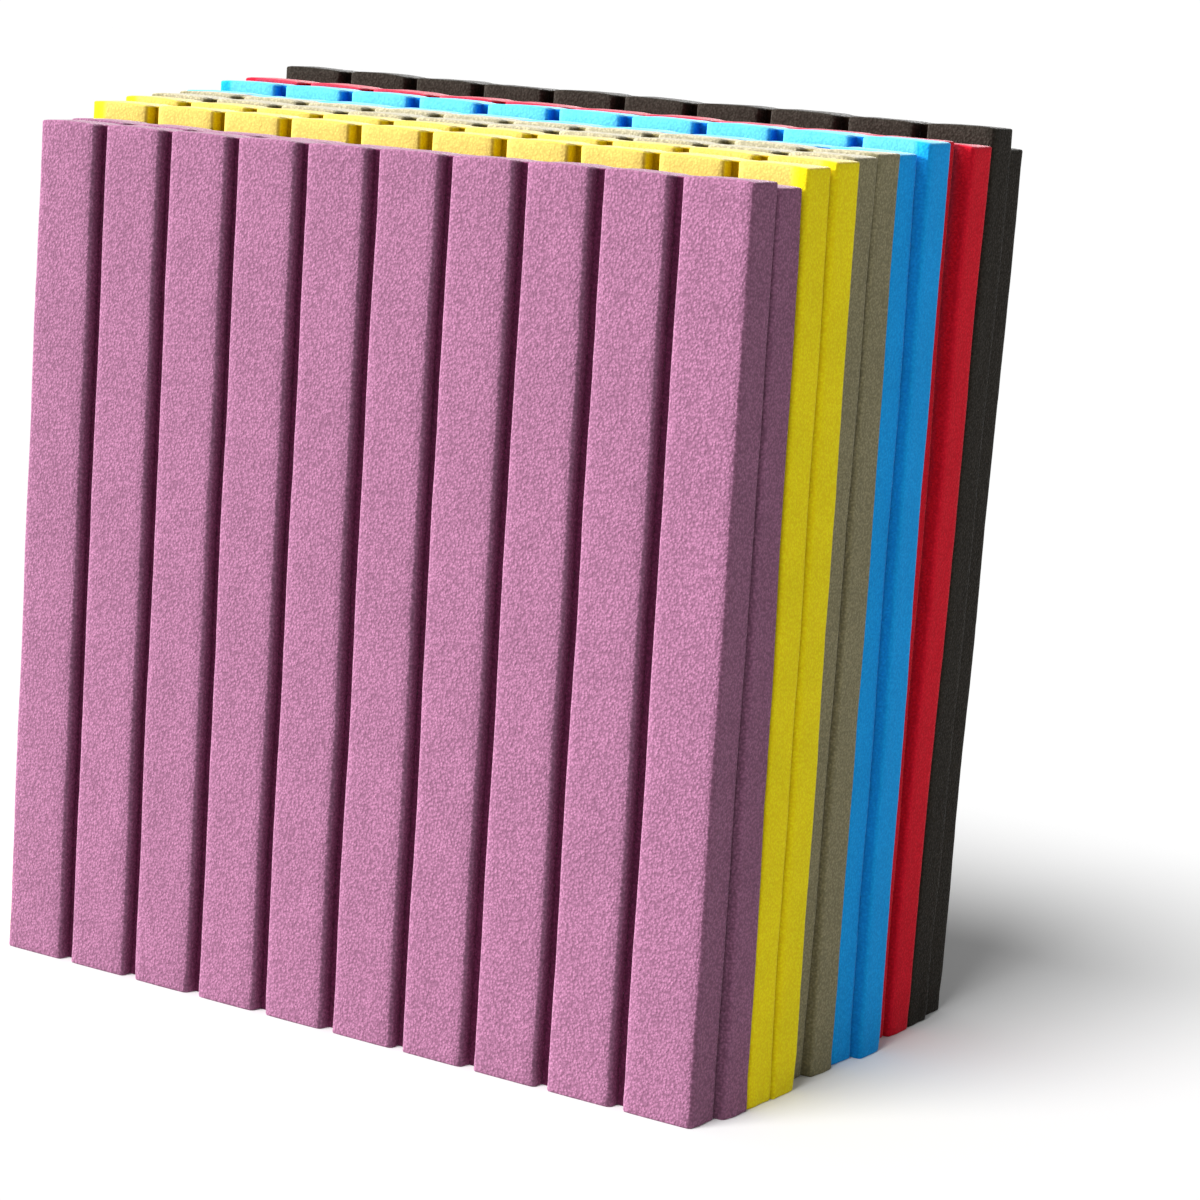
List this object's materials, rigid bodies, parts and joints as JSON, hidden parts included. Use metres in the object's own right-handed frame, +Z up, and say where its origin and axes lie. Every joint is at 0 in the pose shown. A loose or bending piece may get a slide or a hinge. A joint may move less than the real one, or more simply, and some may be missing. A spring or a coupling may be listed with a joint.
{
  "type": "foam tile stack",
  "caption": "Stack of grooved square acoustic foam tiles in assorted colours, standing on edge face to back, each with a flat back and a ribbed front.",
  "frame": {"origin": "centre of the stack's bounding box, on the floor that the tiles stand on", "axes": "+Z up along the grooves, +X along the tiles' width, +Y through the stack from the front tile's ribs to the rear tile's flat back"},
  "size_m": [0.536, 0.3114, 0.544],
  "materials": {
    "purple_foam": "matte open-cell polyurethane foam, mauve purple",
    "yellow_foam": "matte open-cell polyurethane foam, bright yellow",
    "grey_foam": "matte open-cell polyurethane foam, warm olive grey",
    "blue_foam": "matte open-cell polyurethane foam, sky blue",
    "red_foam": "matte open-cell polyurethane foam, signal red",
    "black_foam": "matte open-cell polyurethane foam, charcoal black"
  },
  "bodies": {
    "purple_tile_1": {"purple_tile_1": "purple_foam"},
    "purple_tile_2": {"purple_tile_2": "purple_foam"},
    "yellow_tile_1": {"yellow_tile_1": "yellow_foam"},
    "yellow_tile_2": {"yellow_tile_2": "yellow_foam"},
    "grey_tile_1": {"grey_tile_1": "grey_foam"},
    "grey_tile_2": {"grey_tile_2": "grey_foam"},
    "blue_tile_1": {"blue_tile_1": "blue_foam"},
    "blue_tile_2": {"blue_tile_2": "blue_foam"},
    "red_tile_1": {"red_tile_1": "red_foam"},
    "red_tile_2": {"red_tile_2": "red_foam"},
    "black_tile_1": {"black_tile_1": "black_foam"},
    "black_tile_2": {"black_tile_2": "black_foam"}
  },
  "joints": [
    {"name": "purple_tile_1_lift", "type": "slide", "parent": "black_tile_2", "child": "purple_tile_1", "axis": [0, 0, 1], "range_m": [0, 0.56]},
    {"name": "purple_tile_2_lift", "type": "slide", "parent": "black_tile_2", "child": "purple_tile_2", "axis": [0, 0, 1], "range_m": [0, 0.56]},
    {"name": "yellow_tile_1_lift", "type": "slide", "parent": "black_tile_2", "child": "yellow_tile_1", "axis": [0, 0, 1], "range_m": [0, 0.56]},
    {"name": "yellow_tile_2_lift", "type": "slide", "parent": "black_tile_2", "child": "yellow_tile_2", "axis": [0, 0, 1], "range_m": [0, 0.56]},
    {"name": "grey_tile_1_lift", "type": "slide", "parent": "black_tile_2", "child": "grey_tile_1", "axis": [0, 0, 1], "range_m": [0, 0.56]},
    {"name": "grey_tile_2_lift", "type": "slide", "parent": "black_tile_2", "child": "grey_tile_2", "axis": [0, 0, 1], "range_m": [0, 0.56]},
    {"name": "blue_tile_1_lift", "type": "slide", "parent": "black_tile_2", "child": "blue_tile_1", "axis": [0, 0, 1], "range_m": [0, 0.56]},
    {"name": "blue_tile_2_lift", "type": "slide", "parent": "black_tile_2", "child": "blue_tile_2", "axis": [0, 0, 1], "range_m": [0, 0.56]},
    {"name": "red_tile_1_lift", "type": "slide", "parent": "black_tile_2", "child": "red_tile_1", "axis": [0, 0, 1], "range_m": [0, 0.56]},
    {"name": "red_tile_2_lift", "type": "slide", "parent": "black_tile_2", "child": "red_tile_2", "axis": [0, 0, 1], "range_m": [0, 0.56]},
    {"name": "black_tile_1_lift", "type": "slide", "parent": "black_tile_2", "child": "black_tile_1", "axis": [0, 0, 1], "range_m": [0, 0.56]}
  ]
}
